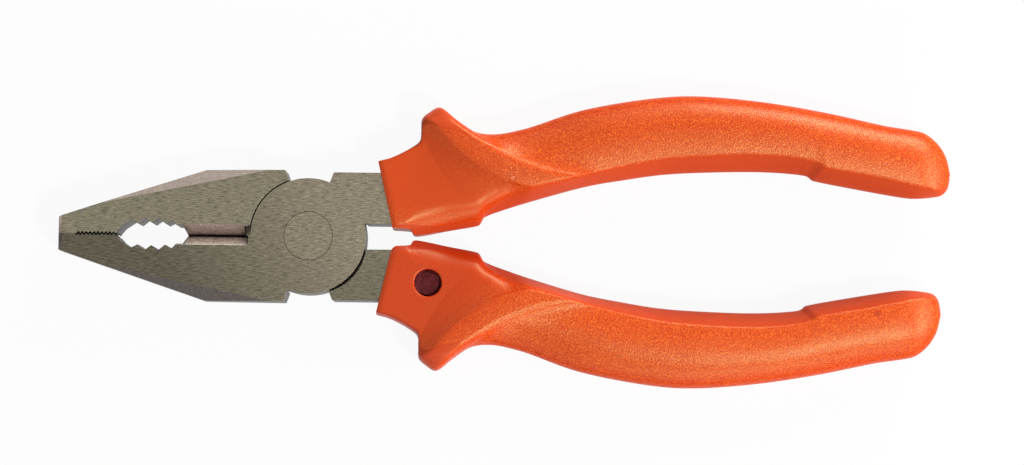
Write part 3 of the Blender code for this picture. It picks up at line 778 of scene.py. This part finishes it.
def grip_plastic(name, deep, pale, grain_share, gloss, joint_shade, mark):
    """Orange moulded plastic, grained behind the guard, darkened near the joint as painted shade, with less
    gloss at grazing angles.
    """
    graph = Graph(name)
    patches = graph.noise(graph.place(PATCH_SCALE))
    grain = graph.noise(graph.place(GRAIN_SCALE), roughness=0.6)
    off_axis = graph.math("ABSOLUTE", graph.slope(90.0), 0.0)
    reach = graph.math("MULTIPLY", graph.slope(0.0), GRAIN_ACROSS[0])
    reach = graph.math("ADD", reach, graph.math("MULTIPLY", off_axis, GRAIN_ACROSS[1]))
    on_body = graph.remap(reach, *GRAIN_FROM, WEAK_GRAIN * grain_share, grain_share)
    on_pad = graph.remap(off_axis, *PAD_GRAIN_FROM, 0.0, PAD_GRAIN * (1.0 - joint_shade) * grain_share)
    grained = graph.math("MAXIMUM", on_body, on_pad)
    base = graph.mix(graph.remap(patches, *NOISE_RANGE), colour(*deep), colour(*pale))
    # Grains in the colour; the light ones are partly painted sparkle.
    for tint, values, share in GRAINS:
        grains = graph.math("MULTIPLY", grained, graph.remap(grain, *values, 0.0, share))
        base = graph.mix(grains, base, colour(*tint))
    # Painted shade near the joint, full on the lower grip and weaker on the upper.
    base = graph.mix(graph.remap(reach, *JOINT_SHADE_FROM, joint_shade, 0.0), base, colour(*JOINT_SHADE_TINT), "MULTIPLY")
    place, fall, tint, heights = mark
    left = graph.math("SUBTRACT", grain, graph.math("MULTIPLY", graph.distance(place), fall))
    base = graph.mix(graph.remap(left, *heights), base, colour(*tint))
    facing = graph.add("ShaderNodeLayerWeight", {}, {"Blend": 0.5}).outputs["Facing"]
    return graph.finish(
        Base_Color=base,
        Roughness=graph.remap(grain, *NOISE_RANGE, *GRAIN_ROUGHNESS),
        Normal=graph.bump(grain, grained, GRAIN_DEPTH),
        Specular_IOR_Level=graph.remap(facing, *GLOSS_FALL, gloss, GRAZING_GLOSS),
        Specular_Tint=GLOSS_TINT,
    )


def brushed_steel(name, tint, painted_shade):
    """Forged steel, ground flat and brushed along the tool, with painted shade darkening a part of it."""
    graph = Graph(name)
    turn, full, end, depth = painted_shade
    streaks = graph.noise(graph.place(STREAK_SCALE, STREAK_TURN), detail=3.0, roughness=0.65)
    fine = graph.noise(graph.place(FINE_SCALE, FINE_TURN))
    specks = graph.noise(graph.place(SPECK_SCALE), detail=1.0)
    light, dark = tinted(tint, LIGHT_STREAK), tinted(tint, DARK_STREAK)
    base = graph.mix(graph.remap(streaks, *NOISE_RANGE), dark, light)
    base = graph.mix(graph.remap(fine, *FINE_FROM, 0.0, FINE_SHARE), base, light)
    for speck, values, share in SPECKS:
        base = graph.mix(graph.remap(specks, *values, 0.0, share), base, colour(*speck), "MULTIPLY")
    # Painted shade: darker towards one end of the half, where less light falls.
    base = graph.mix(graph.remap(graph.slope(turn), full, end, depth, 0.0), base, BLACK)
    rough = graph.remap(fine, *NOISE_RANGE, *BRUSHED_ROUGHNESS)
    normal = graph.bump(streaks, *BRUSHED_BUMP, graph.bump(fine, *BRUSHED_BUMP))
    return graph.finish(Base_Color=base, Metallic=1.0, Roughness=rough, Normal=normal)


def ground_steel(name, tint, spread, edge_shade=0.0):
    """Steel ground across the edge, with a granular look, and painted shade by a share along the cutting
    edge.
    """
    graph = Graph(name)
    grains = graph.noise(graph.place(GROUND_SCALE), detail=3.0, roughness=0.6)
    light, dark = tinted(tint, 1 + spread), tinted(tint, 1 - spread)
    base = graph.mix(graph.remap(grains, *NOISE_RANGE), dark, light)
    if edge_shade:
        # Painted shade in the groove where the two cutting edges meet.
        off_edge = graph.math("ABSOLUTE", graph.slope(90.0), 0.0)
        shaded_edge = graph.remap(off_edge, *PAINTED_EDGE_SHADE, edge_shade, 0.0)
        base = graph.mix(shaded_edge, base, tinted(tint, EDGE_SHADE_TINT))
    normal = graph.bump(grains, *GROUND_BUMP)
    rough = graph.remap(grains, *NOISE_RANGE, *GROUND_ROUGHNESS)
    return graph.finish(Base_Color=base, Metallic=1.0, Roughness=rough, Normal=normal)


def shaded_tang_steel():
    """The tang inside the grip, dark maroon: painted shade and a painted reflection of the orange walls,
    with a flaky bump.
    """
    graph = Graph("shaded_tang_steel")
    flakes = graph.noise(graph.place(FLAKE_SCALE), detail=4.0)
    dark, pale = SHADED_TANG_TINTS
    base = graph.mix(graph.remap(flakes, *NOISE_RANGE), colour(*dark), colour(*pale))
    normal = graph.bump(flakes, *FLAKE_BUMP)
    return graph.finish(Base_Color=base, Roughness=0.7, Normal=normal, Specular_IOR_Level=0.15)


def add_floor():
    """A plain white floor that keeps a soft shadow."""
    bm = bmesh.new()
    bmesh.ops.create_grid(bm, x_segments=1, y_segments=1, size=FLOOR_SIZE / 2)
    bm.transform(Matrix.Translation((0, 0, FLOOR_Z - MIDDLE_Z)))
    floor = new_object("floor", bm)
    graph = Graph("white_floor")
    graph.tree.nodes.remove(graph.shader)
    matt = graph.add("ShaderNodeBsdfDiffuse", {}, {"Color": FLOOR_COLOUR})
    glow = graph.add("ShaderNodeEmission", {}, {"Color": WHITE})
    share = graph.remap(graph.distance((0.0, 0.0, 0.0)), *FLOOR_FADE, *FLOOR_GLOW)
    seen = graph.math("MULTIPLY", seen_ray(graph.tree), share)
    mixed = graph.add("ShaderNodeMixShader", {}, {0: seen, 1: matt.outputs[0], 2: glow.outputs[0]})
    output = graph.tree.nodes["Material Output"]
    graph.tree.links.new(mixed.outputs[0], output.inputs["Surface"])
    floor.data.materials.append(graph.material)


def seen_ray(tree):
    """1 on rays from the camera and on rays that are mirrored or pass through glass, else 0."""
    path = tree.nodes.new("ShaderNodeLightPath")
    total = path.outputs["Is Camera Ray"]
    for name in ("Is Glossy Ray", "Is Transmission Ray"):
        either = tree.nodes.new("ShaderNodeMath")
        either.operation = "MAXIMUM"
        tree.links.new(total, either.inputs[0])
        tree.links.new(path.outputs[name], either.inputs[1])
        total = either.outputs[0]
    return total


def add_world():
    """Soft even light, with a white background behind the object and in what it mirrors."""
    world = bpy.data.worlds.new("studio")
    bpy.context.scene.world = world
    world.use_nodes = True
    tree = world.node_tree
    light = tree.nodes["Background"]
    light.inputs["Color"].default_value = WHITE
    light.inputs["Strength"].default_value = WORLD_LIGHT
    white = tree.nodes.new("ShaderNodeBackground")
    white.inputs["Color"].default_value = WHITE
    white.inputs["Strength"].default_value = BACKGROUND_WHITE
    mixed = tree.nodes.new("ShaderNodeMixShader")
    tree.links.new(seen_ray(tree), mixed.inputs["Fac"])
    tree.links.new(light.outputs["Background"], mixed.inputs[1])
    tree.links.new(white.outputs["Background"], mixed.inputs[2])
    tree.links.new(mixed.outputs["Shader"], tree.nodes["World Output"].inputs["Surface"])


def add_light(name, azimuth, elevation, size, power):
    """A square soft box that points at the object."""
    lamp = bpy.data.lights.new(name, "AREA")
    lamp.shape = "SQUARE"
    lamp.size = size * MM
    lamp.energy = power
    obj = bpy.data.objects.new(name, lamp)
    bpy.context.scene.collection.objects.link(obj)
    turn, rise = math.radians(azimuth), math.radians(elevation)
    level = math.cos(rise)
    outward = Vector((level * math.cos(turn), level * math.sin(turn), math.sin(rise)))
    obj.location = (Vector(LIGHT_TARGET) + outward * LIGHT_DISTANCE) * MM
    obj.rotation_euler = outward.to_track_quat("Z", "Y").to_euler()


def add_camera():
    """The photograph's view: nearly straight down, a little from the lower side."""
    camera = bpy.data.cameras.new("camera")
    camera.lens = CAMERA_LENS
    camera.sensor_width = SENSOR_WIDTH
    camera.clip_start = CAMERA_NEAR * MM
    obj = bpy.data.objects.new("camera", camera)
    bpy.context.scene.collection.objects.link(obj)
    tilt, roll = math.radians(CAMERA_TILT), math.radians(CAMERA_ROLL)
    back = Vector((0, -math.sin(tilt), math.cos(tilt)))
    right = Vector((math.cos(roll), math.sin(roll), 0))
    right = (right - back * right.dot(back)).normalized()
    turn = Matrix((right, back.cross(right), back)).transposed().to_4x4()
    place = Vector(CAMERA_TARGET) + back * CAMERA_DISTANCE
    obj.matrix_world = Matrix.Translation(place * MM) @ turn
    bpy.context.scene.camera = obj


def add_grips():
    """Both grips, each with a grained and a smooth finish."""
    for name, node, body, turned_over, joint_shade, mark in GRIPS:
        looks = [grip_plastic(f"{name}_{finish}", *look, joint_shade, mark) for finish, *look in PLASTICS]
        make_grip(name, node, body, turned_over, looks)


def add_steel():
    """Both forged halves and the rivet."""
    # Tang inside the grip: painted shade and painted reflection of the orange walls.
    scale = shaded_tang_steel()
    # Walls in a dark tint: painted shade.
    wall = ground_steel("steel_wall", *STEEL_WALL)
    for side, body, tint, painted_shade, facet, cutter in HALVES:
        brushed = brushed_steel(f"{side}_half_steel", tint, painted_shade)
        # Facets and cutters tinted apart for each half: painted light and painted shade.
        ground = [ground_steel(f"{side}_facet", *facet), ground_steel(f"{side}_cutter", *cutter)]
        make_steel(f"{side}_forging", f"{side}_half", body, [brushed, wall, *ground, scale])
    looks = [brushed_steel("rivet_steel", RIVET_TINT, NO_PAINTED_SHADE), wall, wall]
    make_steel("rivet", "pivot_rivet", "rear_lever", looks)


def main():
    """Draws the pliers and the studio."""
    add_grips()
    add_steel()
    add_floor()
    add_world()
    for light in LIGHTS:
        add_light(*light)
    add_camera()
    bpy.context.scene.view_settings.view_transform = "Standard"


main()
